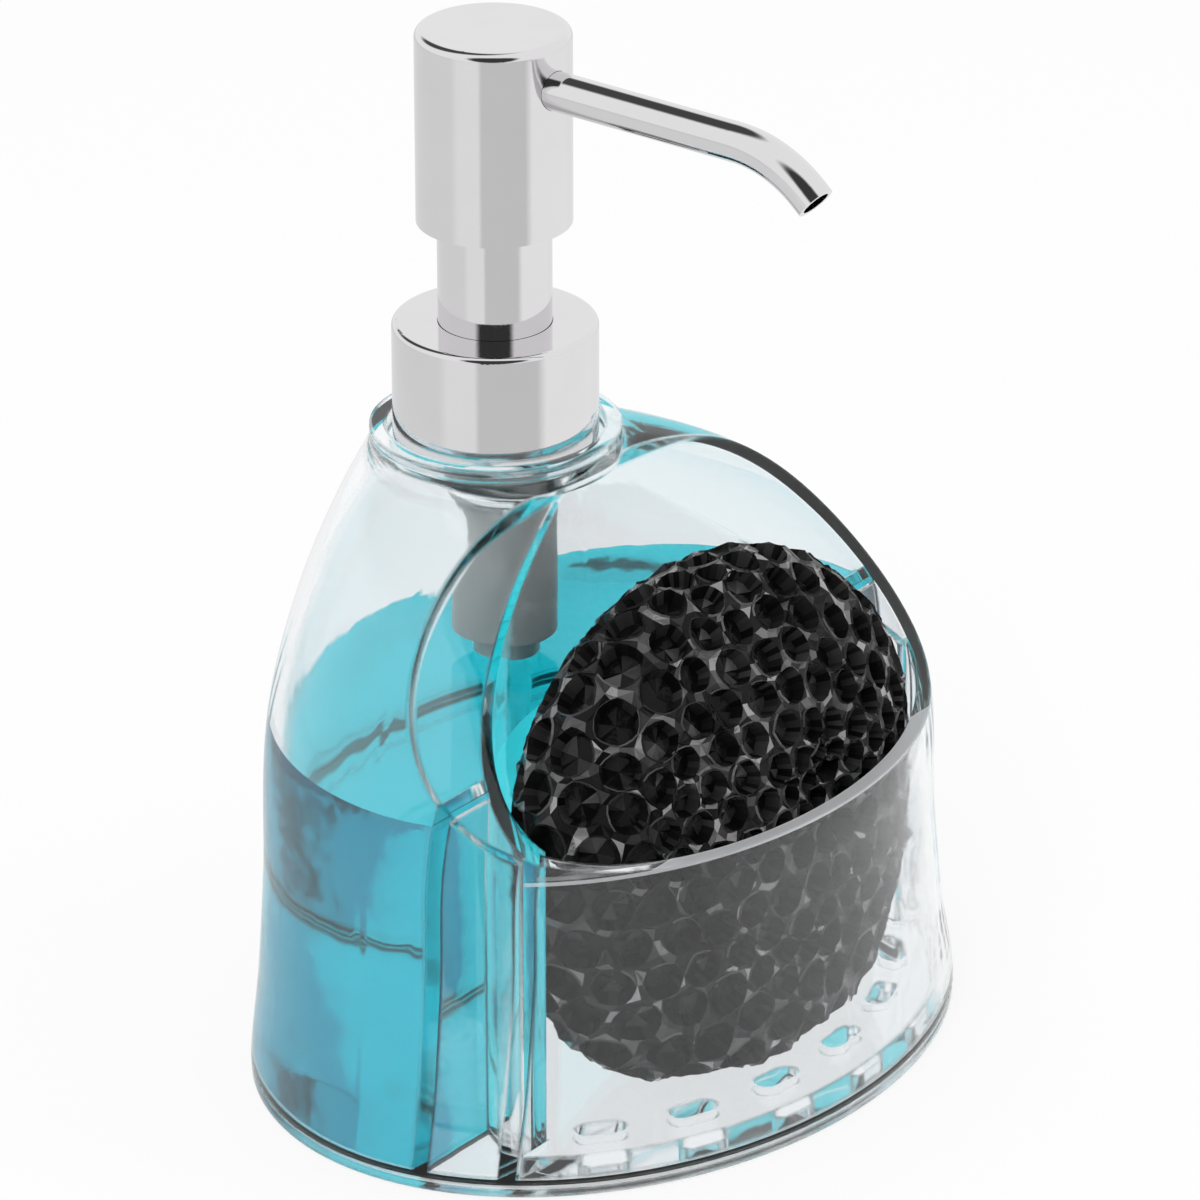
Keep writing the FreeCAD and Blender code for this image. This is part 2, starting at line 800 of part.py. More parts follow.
chaplet = turned(
    "guide",
    [
        ("chaplet_bore", "chaplet_bottom"),
        ("chaplet_radius", "chaplet_bottom"),
        ("chaplet_radius", "flange_top"),
        ("chaplet_flange_radius", "flange_top"),
        ("chaplet_flange_radius", "chaplet_top"),
        ("chaplet_bore", "chaplet_top"),
    ],
)
keep(chaplet, "chaplet")
dip = turned(
    "dip",
    [
        ("dip_bore", "dip_bottom"),
        ("dip_radius", "dip_bottom"),
        ("dip_radius", "dip_top"),
        ("dip_bore", "dip_top"),
    ],
)
keep(dip, "dip_tube")
ball = doc.addObject("Part::Sphere", "ball")
ball.setExpression("Radius", linked("ball_radius"))
ball.setExpression("Placement.Base.y", linked("pump_back"))
ball.setExpression("Placement.Base.z", linked("ball_centre"))
keep(ball, "inlet_ball")
wire_radius = mm.spring_wire / 2
spring_rise = mm.spring_length - 2 * mm.running_gap - mm.spring_wire
spring_pitch = spring_rise / mm.spring_turns
spring, spring_line = coil(
    mm.spring_radius,
    spring_pitch,
    mm.spring_turns,
    mm.ledge + mm.running_gap + wire_radius,
    wire_radius,
)
print("spring: least gap between turns", round(least_gap(spring_line, wire_radius, spring_pitch), 2), "mm")
keep(feature("spring", spring), "return_spring")

# Plunger and piston
rod_turning = turned(
    "rod_turning",
    [
        ("rod_bore", "rod_bottom"),
        ("rod_radius", "rod_bottom"),
        ("rod_radius", "shoulder_bottom"),
        ("shoulder_radius", "shoulder_bottom"),
        ("shoulder_radius", "shoulder_top"),
        ("rod_radius", "shoulder_top"),
        ("rod_radius", "rod_top"),
        ("rod_bore", "rod_top"),
    ],
)
port = drill("port", "port_radius", "port_height", "shoulder_radius * -1", "2 * shoulder_radius")
keep(cut("rod", rod_turning, port), "piston_rod")
piston = turned(
    "piston",
    [
        ("piston_bore", "piston_bottom"),
        ("piston_radius", "piston_bottom"),
        ("piston_radius", "piston_lower_lip"),
        ("piston_waist", "piston_lower_lip"),
        ("piston_waist", "piston_upper_lip"),
        ("piston_radius", "piston_upper_lip"),
        ("piston_radius", "piston_top"),
        ("piston_bore", "piston_top"),
    ],
)
keep(piston, "piston_seal")
plug = turned(
    "plug",
    [
        (AXIS, "seat_bottom"),
        ("seat_radius", "seat_bottom"),
        ("seat_radius", "seat_top"),
        ("stub_radius", "seat_top"),
        ("stub_radius", "stub_top"),
        (AXIS, "stub_top"),
    ],
)
keep(plug, "piston_seat")

# Head and spout
head_turning = turned(
    "head_turning",
    [
        ("head_inner", "head_bottom"),
        ("head_radius", "head_bottom"),
        ("head_radius", "head_top"),
        (AXIS, "head_top"),
        (AXIS, "head_cap_bottom"),
        ("head_inner", "head_cap_bottom"),
    ],
)
rounded(head_turning, "head_round", [("head_radius", "head_top")])
head_hole = drill("head_hole", "spout_hole", "spout_height", "0", "head_radius + overrun")
keep(cut("head", head_turning, head_hole), "pump_head")
insert_turning = turned(
    "insert_turning",
    [
        ("rod_socket", "insert_neck_bottom"),
        ("insert_neck_radius", "insert_neck_bottom"),
        ("insert_neck_radius", "insert_bottom"),
        ("insert_radius", "insert_bottom"),
        ("insert_radius", "insert_top"),
        (AXIS, "insert_top"),
        (AXIS, "spout_height"),
        ("rod_bore", "spout_height"),
        ("rod_bore", "rod_socket_top"),
        ("rod_socket", "rod_socket_top"),
    ],
)
insert_hole = drill(
    "insert_hole", "spout_hole", "spout_height", "(spout_root - seat_gap)", "head_radius + overrun"
)
insert_bored = cut("insert_bored", insert_turning, insert_hole)
insert_duct = drill("insert_duct", "spout_bore", "spout_height", "0", "head_radius")
keep(cut("insert", insert_bored, insert_duct), "head_insert")
keep(feature("spout_tube", spout()), "spout")

doc.recompute()
for part in doc.Objects:
    if "Invalid" in part.State or "Error" in part.State:
        raise RuntimeError(f"{part.Label} did not compute: {part.State}")
for label, piece in pieces.items():
    if piece.Shape.isNull() or not piece.Shape.isValid():
        raise RuntimeError(f"{label} has no valid shape")
os.makedirs("parts", exist_ok=True)
for label, piece in pieces.items():
    piece.Shape.exportStep(f"parts/{label}.step")
    box = piece.Shape.BoundBox
    print(
        f"{label:16s} solids {len(piece.Shape.Solids)} volume {piece.Shape.Volume:10.1f}"
        f"  x {box.XMin:7.2f} {box.XMax:7.2f}  y {box.YMin:7.2f} {box.YMax:7.2f}"
        f"  z {box.ZMin:7.2f} {box.ZMax:7.2f}"
    )
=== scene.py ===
# %% [markdown]
# # A soap pump caddy
# This lesson dresses a clear oval soap bottle that stands by a sink. A chrome pump rises from its back, blue
# soap fills the chamber under the pump, and an open pocket in front holds a black net scrubber. The solids
# come from the CAD frame, in metres, so each new piece is made where the frame says it is.

# %% Load the frame
import json
import math
import random

import bmesh
import bpy
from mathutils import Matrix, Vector
from mathutils.bvhtree import BVHTree


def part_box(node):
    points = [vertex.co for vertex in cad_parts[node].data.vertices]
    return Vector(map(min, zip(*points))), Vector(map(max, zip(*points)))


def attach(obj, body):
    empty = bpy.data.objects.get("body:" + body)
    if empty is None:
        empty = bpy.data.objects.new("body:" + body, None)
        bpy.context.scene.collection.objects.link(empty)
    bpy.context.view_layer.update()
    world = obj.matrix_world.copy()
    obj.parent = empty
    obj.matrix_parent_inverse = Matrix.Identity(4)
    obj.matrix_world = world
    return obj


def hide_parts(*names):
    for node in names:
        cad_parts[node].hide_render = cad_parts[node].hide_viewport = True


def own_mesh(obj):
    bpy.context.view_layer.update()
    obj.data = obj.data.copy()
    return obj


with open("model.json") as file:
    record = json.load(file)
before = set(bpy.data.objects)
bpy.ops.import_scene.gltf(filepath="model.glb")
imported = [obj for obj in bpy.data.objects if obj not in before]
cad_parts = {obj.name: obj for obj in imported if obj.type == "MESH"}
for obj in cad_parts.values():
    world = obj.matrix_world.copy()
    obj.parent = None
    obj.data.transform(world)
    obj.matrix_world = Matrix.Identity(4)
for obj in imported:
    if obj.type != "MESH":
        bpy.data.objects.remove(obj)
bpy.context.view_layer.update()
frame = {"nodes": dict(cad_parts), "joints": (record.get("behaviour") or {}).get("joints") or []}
nodes = frame["nodes"]

# %% [markdown]
# ## Sockets that can be reckoned with
# A finish is a small sum: a noise times a number, plus a base value. Wiring Math nodes by hand hides that
# sum, so one small class wraps a socket and lets Python's own operators add the nodes. Everything that
# isn't plain arithmetic goes through its one node method.


# %% The socket class
class Shade:
    """A shader socket in a node tree, with Python's operators as Math nodes."""

    def __init__(self, tree, socket=None):
        self.tree = tree
        self.socket = socket

    def node(self, kind, settings=None, sockets=None, out=0):
        """Adds any node: its settings first, then the values or links of its sockets."""
        made = self.tree.nodes.new(kind)
        for name, value in (settings or {}).items():
            if name == "stops":
                ramp = made.color_ramp.elements
                for element, (at, colour) in zip((ramp[0], ramp[1]), value):
                    element.position = at
                    element.color = colour
                for at, colour in value[2:]:
                    ramp.new(at).color = colour
            else:
                setattr(made, name, value)
        for name, value in (sockets or {}).items():
            if isinstance(value, Shade):
                self.tree.links.new(value.socket, made.inputs[name])
            else:
                made.inputs[name].default_value = value
        return Shade(self.tree, made.outputs[out])

    def reckon(self, operation, *values):
        return self.node("ShaderNodeMath", {"operation": operation}, dict(enumerate(values)))

    def __add__(self, other):
        return self.reckon("ADD", self, other)

    __radd__ = __add__

    def __sub__(self, other):
        return self.reckon("SUBTRACT", self, other)

    def __rsub__(self, other):
        return self.reckon("SUBTRACT", other, self)

    def __mul__(self, other):
        return self.reckon("MULTIPLY", self, other)

    __rmul__ = __mul__

    def __pow__(self, other):
        return self.reckon("POWER", self, other)

    def __rpow__(self, other):
        return self.reckon("POWER", other, self)


# %% [markdown]
# ## One way to make a finish
# Each finish is a Principled shader. Numbers that are the same all over go straight on its sockets. What
# changes over the surface is worked out by a short function that gets the empty node tree and returns the
# sockets to link.


# %% The finish helper
def finish(name, values, detail):
    material = bpy.data.materials.new(name)
    material.use_nodes = True
    tree = material.node_tree
    shader = tree.nodes["Principled BSDF"]
    for socket, value in values.items():
        shader.inputs[socket].default_value = value
    for socket, link in detail(Shade(tree)).items():
        tree.links.new(link.socket, shader.inputs[socket])
    print("finish", name, "has", len(tree.nodes), "nodes")
    return material


# %% [markdown]
# A few short words are used by most finishes: where a point is, a soft noise, a dent in the surface and a
# blend of two colours.


# %% Words that the finishes share
def place(tree):
    """The point on the piece, in metres of the frame."""
    return tree.node("ShaderNodeTexCoord", out="Object")


def along(tree, axis):
    """One coordinate of that point."""
    return tree.node("ShaderNodeSeparateXYZ", None, {"Vector": place(tree)}, out=axis)


def mottle(tree, per_metre, roughness=0.5, steps=3.0, warp=0.0):
    """Soft noise from 0 to 1, so many blotches to the metre."""
    sockets = {
        "Vector": place(tree),
        "Scale": per_metre,
        "Detail": steps,
        "Roughness": roughness,
        "Distortion": warp,
    }
    return tree.node("ShaderNodeTexNoise", None, sockets)


def dent(tree, height, depth, normal=None):
    """A bump from a height map, whose depth is in metres, on top of a normal if there is one."""
    sockets = {"Height": height, "Distance": depth}
    if normal:
        sockets["Normal"] = normal
    return tree.node("ShaderNodeBump", None, sockets)


def blend_colours(tree, share, first, second):
    settings = {"data_type": "RGBA", "blend_type": "MIX"}
    sockets = {"Factor": share, 6: first, 7: second}
    return tree.node("ShaderNodeMix", settings, sockets, out=2)


# %% [markdown]
# ## The clear body
# The real bottle is moulded from clear plastic, polished, with a faint waviness from the mould and edges
# that catch the light. A full transmission shader with the index of the plastic bends the light as the
# thick walls do. A long soft bump gives the waviness, and a Bevel node bends the normals at the sharp edges
# of the CAD walls as if they were rounded.

# %% Edges and rim of the clear plastic
EDGE_ROUND = 0.0009
EDGE_SAMPLES = 4
RIM_HEIGHT_ABOVE_TABLE = 0.051
RIM_TOLERANCE = EDGE_ROUND / 3
RIM_BACK = -0.024


def rounded_edges(tree):
    """Normals that bend over sharp edges as if those were rounded."""
    return tree.node("ShaderNodeBevel", {"samples": EDGE_SAMPLES}, {"Radius": EDGE_ROUND})


def satin_rim(tree):
    """One on the flat top of the front wall, which the mould leaves a little dull."""
    on_top = tree.reckon("COMPARE", along(tree, "Z"), RIM_HEIGHT_ABOVE_TABLE, RIM_TOLERANCE)
    return on_top * tree.reckon("LESS_THAN", along(tree, "Y"), RIM_BACK)


# %% Clear plastic
CLEAR_TINT = (0.93, 0.945, 0.955, 1.0)
CLEAR_INDEX = 1.49
SATIN = 0.4
WIPES_PER_METRE = 60.0
WIPE_ROUGHNESS = 0.02
WAVES_PER_METRE = 45.0
WAVE_DEPTH = 0.00012


def moulded_wave(tree):
    wave = mottle(tree, WAVES_PER_METRE, roughness=0.4, steps=1.0)
    return {
        "Roughness": mottle(tree, WIPES_PER_METRE) * WIPE_ROUGHNESS + satin_rim(tree) * SATIN,
        "Normal": dent(tree, wave, WAVE_DEPTH, rounded_edges(tree)),
    }


clear_plastic = finish(
    "clear_plastic",
    {"Base Color": CLEAR_TINT, "IOR": CLEAR_INDEX, "Transmission Weight": 1.0},
    moulded_wave,
)

# %% [markdown]
# The top of the front wall looks pale and hazy on the real bottle. A second, opaque shader is mixed in
# there, and only there.

# %% Haze on the rim
RIM_HAZE_SHARE = 0.4
HAZE_COLOUR = (0.86, 0.88, 0.9, 1.0)
clear_tree = Shade(clear_plastic.node_tree)
clear_nodes = clear_plastic.node_tree.nodes
polished = Shade(clear_tree.tree, clear_nodes["Principled BSDF"].outputs["BSDF"])
haze = clear_tree.node(
    "ShaderNodeBsdfPrincipled",
    None,
    {"Base Color": HAZE_COLOUR, "Roughness": SATIN, "IOR": CLEAR_INDEX},
)
haze_share = satin_rim(clear_tree) * RIM_HAZE_SHARE
hazed = clear_tree.node("ShaderNodeMixShader", None, {0: haze_share, 1: polished, 2: haze})
clear_tree.tree.links.new(hazed.socket, clear_nodes["Material Output"].inputs["Surface"])
print("the rim is hazed by", round(100 * RIM_HAZE_SHARE), "percent")

# %% [markdown]
# ## Blue soap
# The soap is a clear cyan liquid. Its colour gets deeper where there is more of it, so the colour comes
# from absorption along the light's way through the liquid and not from its skin.

# %% Soap finish
SOAP_INDEX = 1.35
SOAP_SKIN = (0.97, 0.995, 1.0, 1.0)
SOAP_COLOUR = (0.0, 0.91, 0.945, 1.0)
SOAP_DENSITY = 60.0
RIPPLES_PER_METRE = 90.0
RIPPLE_ROUGHNESS = 0.01


def still_surface(tree):
    return {"Roughness": mottle(tree, RIPPLES_PER_METRE) * RIPPLE_ROUGHNESS}


blue_soap = finish(
    "blue_soap",
    {"Base Color": SOAP_SKIN, "IOR": SOAP_INDEX, "Transmission Weight": 1.0},
    still_surface,
)
soap_tree = Shade(blue_soap.node_tree)
soap_depth = soap_tree.node(
    "ShaderNodeVolumeAbsorption", None, {"Color": SOAP_COLOUR, "Density": SOAP_DENSITY}
)
soap_output = blue_soap.node_tree.nodes["Material Output"]
blue_soap.node_tree.links.new(soap_depth.socket, soap_output.inputs["Volume"])

# %% [markdown]
# ## Chrome
# The pump is plated. Polished chrome is a mirror that is a little darker than silver, with fine specks in
# the plating and wiped streaks that dull it here and there.

# %% Chrome plate
CHROME_DARK = (0.7, 0.69, 0.7, 1.0)
CHROME_LIGHT = (0.76, 0.75, 0.76, 1.0)
CHROME_POLISH = 0.015
STREAKS_PER_METRE = 70.0
STREAK_ROUGHNESS = 0.05
SPECKS_PER_METRE = 2600.0
SPECK_RARITY = 6
SPECK_ROUGHNESS = 0.25
PEEL_PER_METRE = 900.0
PEEL_DEPTH = 0.000004


def plated(tree):
    wiped = mottle(tree, STREAKS_PER_METRE, roughness=0.6, steps=4.0, warp=0.6)
    specks = mottle(tree, SPECKS_PER_METRE, steps=1.0) ** SPECK_RARITY
    return {
        "Roughness": wiped * STREAK_ROUGHNESS + specks * SPECK_ROUGHNESS + CHROME_POLISH,
        "Base Color": blend_colours(tree, wiped, CHROME_DARK, CHROME_LIGHT),
        "Normal": dent(tree, mottle(tree, PEEL_PER_METRE, steps=1.0), PEEL_DEPTH),
    }


chrome_plate = finish("chrome_plate", {"Metallic": 1.0}, plated)
steel_ball = finish("steel_ball", {"Metallic": 1.0}, plated)

# %% [markdown]
# ## White and milky mouldings
# The pump's inside parts are plain mouldings with a fine grain. The housing and the dip tube are milky, so
# some light goes through them.

# %% Mouldings
MOULDING_DARK = (0.82, 0.84, 0.84, 1.0)
MOULDING_LIGHT = (0.9, 0.91, 0.9, 1.0)
MOULDING_INDEX = 1.48
SEAL_INDEX = 1.42
GRAIN_PER_METRE = 1800.0
GRAIN_DEPTH = 0.00001
CLOUDS_PER_METRE = 120.0


def moulded_grain(tree):
    grain = mottle(tree, GRAIN_PER_METRE, roughness=0.6, steps=2.0)
    cloud = mottle(tree, CLOUDS_PER_METRE, steps=2.0)
    return {
        "Roughness": grain * 0.15 + 0.32,
        "Base Color": blend_colours(tree, cloud, MOULDING_DARK, MOULDING_LIGHT),
        "Normal": dent(tree, grain, GRAIN_DEPTH),
    }


white_plastic = finish("white_plastic", {"IOR": MOULDING_INDEX}, moulded_grain)
milky_plastic = finish(
    "milky_plastic", {"IOR": MOULDING_INDEX, "Transmission Weight": 0.1}, moulded_grain
)
soft_seal = finish("soft_seal", {"IOR": SEAL_INDEX, "Sheen Weight": 0.1}, moulded_grain)

# %% [markdown]
# The spring is drawn wire, which keeps the fine streaks of the die.

# %% Drawn wire
WIRE_DARK = (0.5, 0.5, 0.51, 1.0)
WIRE_LIGHT = (0.68, 0.68, 0.69, 1.0)
DRAWN_STREAKS_PER_METRE = 3000.0


def drawn_metal(tree):
    streaks = mottle(tree, DRAWN_STREAKS_PER_METRE, roughness=0.7, steps=4.0)
    return {
        "Roughness": streaks * 0.2 + 0.18,
        "Base Color": blend_colours(tree, streaks, WIRE_DARK, WIRE_LIGHT),
    }


spring_steel = finish("spring_steel", {"Metallic": 1.0}, drawn_metal)

# %% [markdown]
# ## Finishes on the CAD nodes
# These nodes already have the right shape, so each only gets its finish.

# %% Dress the CAD nodes
DRESS = {
    clear_plastic: ("body_shell", "base_plate"),
    chrome_plate: ("collar_shell", "chimney_sleeve", "pump_head", "spout"),
    white_plastic: ("closure_nut", "chaplet", "piston_rod", "piston_seat", "head_insert"),
    milky_plastic: ("pump_housing", "dip_tube"),
    soft_seal: ("neck_gasket", "piston_seal"),
    steel_ball: ("inlet_ball",),
}
for material, names in DRESS.items():
    for name in names:
        mesh = nodes[name].data
        mesh.materials.clear()
        mesh.materials.append(material)
print("dressed", sum(len(names) for names in DRESS.values()), "nodes")

# %% [markdown]
# ## New pieces
# A new piece is a bmesh that becomes one object at the origin. It rides on the body it belongs to, and may
# stand for CAD nodes.

# %% The piece helper
MERGE_DISTANCE = 1e-6


def make_piece(form, name, material, body, stands_for=()):
    mesh = bpy.data.meshes.new(name)
    form.to_mesh(mesh)
    form.free()
    mesh.materials.append(material)
    piece = bpy.data.objects.new(name, mesh)
    bpy.context.scene.collection.objects.link(piece)
    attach(piece, body)
    if stands_for:
        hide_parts(*stands_for)
    print(name, len(mesh.vertices), "points", len(mesh.polygons), "faces")
    return piece


def merged_copy(name):
    """A node's mesh with its loose triangles joined."""
    form = bmesh.new()
    form.from_mesh(nodes[name].data)
    bmesh.ops.remove_doubles(form, verts=form.verts[:], dist=MERGE_DISTANCE)
    return form


# %% [markdown]
# ## The soap
# The CAD soap stops just short of the walls. Real soap wets them, and a film of air would act as a mirror,
# so the soap's copy is grown a hair into the plastic. Its top stays level.

# %% Soap
SOAP_GROWTH = 0.00035
soap_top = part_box("soap_fill")[1].z
soap_form = merged_copy("soap_fill")
soap_form.normal_update()
for point in soap_form.verts:
    grown = point.co + point.normal * SOAP_GROWTH
    grown.z = min(grown.z, soap_top)
    point.co = grown
soap = make_piece(soap_form, "soap", blue_soap, "bottle", ("soap_fill",))

# %% [markdown]
# ## The return spring
# Inside the barrel a coil spring pushes the head up again. A CAD node can't change its form, and a stiff
# spring would stand through the piston when the head is pressed. So a copy with a mesh of its own stands for
# it, and the share of its length that it keeps over the whole travel of the press is worked out.

# %% Spring
press = next(joint for joint in frame["joints"] if joint["name"] == "pump_press")
spring_low, spring_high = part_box("return_spring")
pressed_share = 1 - press["range_m"][1] / (spring_high.z - spring_low.z)
spring_form = merged_copy("return_spring")
spring = make_piece(
    spring_form, "coil_spring", spring_steel, "engine", ("return_spring",)
)
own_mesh(spring)
print("the pressed spring keeps", round(100 * pressed_share), "percent of its length")

# %% [markdown]
# ## The net scrubber
# The scrubber is a sponge in a sleeve of glossy black film, knitted as a net and gathered at its end. Close
# up it is a pack of round dark cells with thin rims, and small bright triangles of film where three cells
# meet. Cutting the corners off a ball of triangles gives just that: each corner becomes a cell, and each
# triangle becomes the film between three cells. So the ball comes first, with one point for each cell.

# %% A ball of even triangles
CELLS_PER_EDGE = 6
net_form = bmesh.new()
bmesh.ops.create_icosphere(net_form, subdivisions=1, radius=1.0)
bmesh.ops.subdivide_edges(net_form, edges=net_form.edges[:], cuts=CELLS_PER_EDGE - 1, use_grid_fill=True)
print("cells in the net:", len(net_form.verts), "films:", len(net_form.faces))

# %% [markdown]
# The ball is pressed onto the outer skin of the CAD scrubber, which has the squeezed form. Rays from far
# outside find that skin.

# %% Press it onto the scrubber's skin
net_low, net_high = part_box("scrubber_net")
net_middle = (net_low + net_high) / 2
net_reach = (net_high - net_low) / 2
skin_form = merged_copy("scrubber_net")
skin = BVHTree.FromBMesh(skin_form)
skin_form.free()
for point in net_form.verts:
    way = (point.co.normalized() * net_reach).normalized()
    point.co = skin.ray_cast(net_middle + way * net_reach.length * 2, -way)[0]
print("net size in mm:", [round(2000 * half, 1) for half in net_reach])

# %% [markdown]
# Smoothing the points and putting them back on the skin, again and again, evens out the cells, and a small
# seeded shake keeps them from looking like a honeycomb.

# %% Even out and shake
EVENING_ROUNDS = 80
EVENING_SHARE = 0.5
SHAKE = 0.0008
dice = random.Random(7)


def shaken(spread):
    return Vector((dice.gauss(0, spread), dice.gauss(0, spread), dice.gauss(0, spread)))


for _ in range(EVENING_ROUNDS):
    bmesh.ops.smooth_vert(
        net_form,
        verts=net_form.verts[:],
        factor=EVENING_SHARE,
        use_axis_x=True,
        use_axis_y=True,
        use_axis_z=True,
    )
    for point in net_form.verts:
        point.co = skin.find_nearest(point.co)[0]
for point in net_form.verts:
    point.co = skin.find_nearest(point.co + shaken(SHAKE))[0]
lengths = sorted(1000 * edge.calc_length() for edge in net_form.edges)
print("cell spacing in mm:", round(lengths[0], 1), "to", round(lengths[-1], 1))

# %% [markdown]
# The sleeve's end is drawn together low in front, just above the pocket's rim. Points near it are pulled
# in and sunk, so that the cells crowd there.

# %% The gathered end
GATHER_SIDE = 0.0014
GATHER_HEIGHT = 0.052
GATHER_REACH = 0.017
GATHER_SINK = 0.004
GATHER_KEEP = 0.55
gather, gather_out = skin.find_nearest(Vector((GATHER_SIDE, net_low.y, GATHER_HEIGHT)))[:2]
gathered = 0
for point in net_form.verts:
    share = (point.co - gather).length / GATHER_REACH
    if share < 1:
        sink = gather_out * GATHER_SINK * (1 - share) ** 2
        kept = GATHER_KEEP + (1 - GATHER_KEEP) * share
        point.co = gather + (point.co - gather) * kept - sink
        gathered += 1
print("points drawn together:", gathered)

# %% [markdown]
# Now the corners are cut off, which opens a cell at each point. Each cell's edges get more points, which
# move out to a circle.

# %% Cut the cells and round them
CELL_SHARE = 43.0
CELL_FIT = 0.97
CELL_ROUND = 0.65
cut = bmesh.ops.bevel(
    net_form,
    geom=net_form.verts[:],
    offset=CELL_SHARE,
    offset_type="PERCENT",
    segments=1,
    profile=0.5,
    affect="VERTICES",
    material=-1,
)
cells = [face for face in cut["faces"] if face.is_valid]
cell_set = set(cells)
films = [face for face in net_form.faces if face not in cell_set]
cell_edges = list({edge for face in cells for edge in face.edges})
bmesh.ops.subdivide_edges(net_form, edges=cell_edges, cuts=2)
net_form.normal_update()
for face in cells:
    middle = face.calc_center_median()
    radius = max((point.co - middle).length for point in face.verts) * CELL_FIT
    for point in face.verts:
        arm = point.co - middle
        reach = (1 - CELL_ROUND) * arm.length + CELL_ROUND * radius
        point.co = middle + arm.normalized() * reach
print("round cells:", len(cells), "films:", len(films))

# %% [markdown]
# The net is set a little under the CAD skin, so that its rims stay inside it. Each cell is then drawn in
# twice: once for its thin raised rim and once for the deep wall inside it.

# %% Rims and walls
FILM_SET = 0.0004
FILM_SET_SPREAD = 0.00015
RIM_WIDTH = 0.0002
RIM_HEIGHT = 0.0003
WALL_WIDTH = 3 * RIM_WIDTH
WALL_DEPTH = 0.0024
net_form.normal_update()
for point in net_form.verts:
    point.co -= point.normal * (FILM_SET + abs(dice.gauss(0, FILM_SET_SPREAD)))
strands = bmesh.ops.inset_individual(
    net_form, faces=cells, thickness=RIM_WIDTH, depth=RIM_HEIGHT, use_even_offset=True
)["faces"]
bmesh.ops.inset_individual(
    net_form, faces=cells, thickness=WALL_WIDTH, depth=-WALL_DEPTH, use_even_offset=True
)
print("strand faces:", len(strands))

# %% [markdown]
# Last, the middles of the films and of the cells' floors are moved at random, so that each becomes a
# handful of facets that catch the light one by one.

# %% Facets
FILM_FACET_SPREAD = 0.00045
FLOOR_FACET_SPREAD = 0.0003


def facet(faces, spread):
    """Splits each face from its middle, which moves in or out at random."""
    split = []
    for face in faces:
        split += bmesh.ops.poke(net_form, faces=[face], offset=dice.gauss(0, spread))["faces"]
    return split


film_facets = facet(films, FILM_FACET_SPREAD)
floor_facets = facet(cells, FLOOR_FACET_SPREAD)
bmesh.ops.recalc_face_normals(net_form, faces=net_form.faces[:])
print("facets on films:", len(film_facets), "in cells:", len(floor_facets))

# %% [markdown]
# The real film is thin and glassy, so some facets mirror the lights and others stay black. Here that is
# painted:
# each face gets its own share of painted glint as a colour attribute, high on some films, less on the
# strands and next to nothing in the cells.

# %% The painted glint of each facet
FACETS_PER_PAINTED_GLINT = 3
# Painted glints: a share per face that makes a facet more metallic and paints it paler, standing in for
# lights it would mirror.
gloss = net_form.loops.layers.float_color.new("gloss")


def paint_glints(faces, most, rarity, together=FACETS_PER_PAINTED_GLINT):
    """Paints runs of neighbouring faces with a share of painted glint; the rarer, the fewer are bright."""
    for index, face in enumerate(faces):
        if index % together == 0:
            share = most * dice.random() ** rarity
        for corner in face.loops:
            corner[gloss] = (share, share, share, 1.0)


# Painted glints: bright on a few films, dimmer on the strands, a faint painted sheen on some cell floors.
paint_glints(net_form.faces, most=0.1, rarity=2.0, together=1)
paint_glints(strands, most=0.4, rarity=3.0)
paint_glints(film_facets, most=0.95, rarity=5.0)
paint_glints(floor_facets, most=0.3, rarity=8.0)
print("faces with a gloss of their own:", len(net_form.faces))

# %% [markdown]
# The finish reads that attribute: a facet with more painted glint is more metallic and painted paler, and
# one without is black. The piece stands for both scrubber solids; the real one squeezes.

# %% Black net
NET_BLACK = (0.004, 0.004, 0.004, 1.0)
# The paler colour of a glinting facet: a painted glint, not a colour of the film.
NET_PAINTED_GLINT = (0.4, 0.39, 0.39, 1.0)
FOLDS_PER_METRE = 700.0
CREASES_PER_METRE = 1500.0
CREASE_DEPTH = 0.00006


def film_finish(tree):
    fold = mottle(tree, FOLDS_PER_METRE, steps=2.0)
    # Reads each face's share of painted glint.
    glint_share = tree.node("ShaderNodeAttribute", {"attribute_name": "gloss"}, None, out="Fac")
    return {
        "Roughness": fold * 0.2 + 0.1,
        "Metallic": glint_share,
        "Base Color": blend_colours(tree, glint_share, NET_BLACK, NET_PAINTED_GLINT),
        "Normal": dent(tree, mottle(tree, CREASES_PER_METRE, steps=1.0), CREASE_DEPTH),
    }


black_net = finish("black_net", {"IOR": 1.4, "Specular IOR Level": 0.2}, film_finish)
net = make_piece(
    net_form, "net_scrubber", black_net, "scrubber", ("scrubber_net", "scrubber_sponge")
)

# %% [markdown]
# ## Floor and studio
# The photograph has a plain white ground. The floor is a wide pale sheet just under the base.

# %% Floor
FLOOR_DROP = 0.0003
FLOOR_HALF = 4.0
floor_form = bmesh.new()
bmesh.ops.create_grid(floor_form, x_segments=2, y_segments=2, size=FLOOR_HALF)
bmesh.ops.translate(floor_form, verts=floor_form.verts[:], vec=(0.0, 0.0, -FLOOR_DROP))
floor_mesh = bpy.data.meshes.new("floor")
floor_form.to_mesh(floor_mesh)
floor_form.free()
floor = bpy.data.objects.new("floor", floor_mesh)
bpy.context.scene.collection.objects.link(floor)
print("floor laid", round(1000 * FLOOR_DROP, 1), "mm under the base")

# %% [markdown]
# A photographer lays grey cards round a chrome piece, so that its sides show soft bands. The floor's ring
# of greys, which only mirrors see, does the same. The greys are laid out by the compass direction from the
# pump, with soft steps between them.

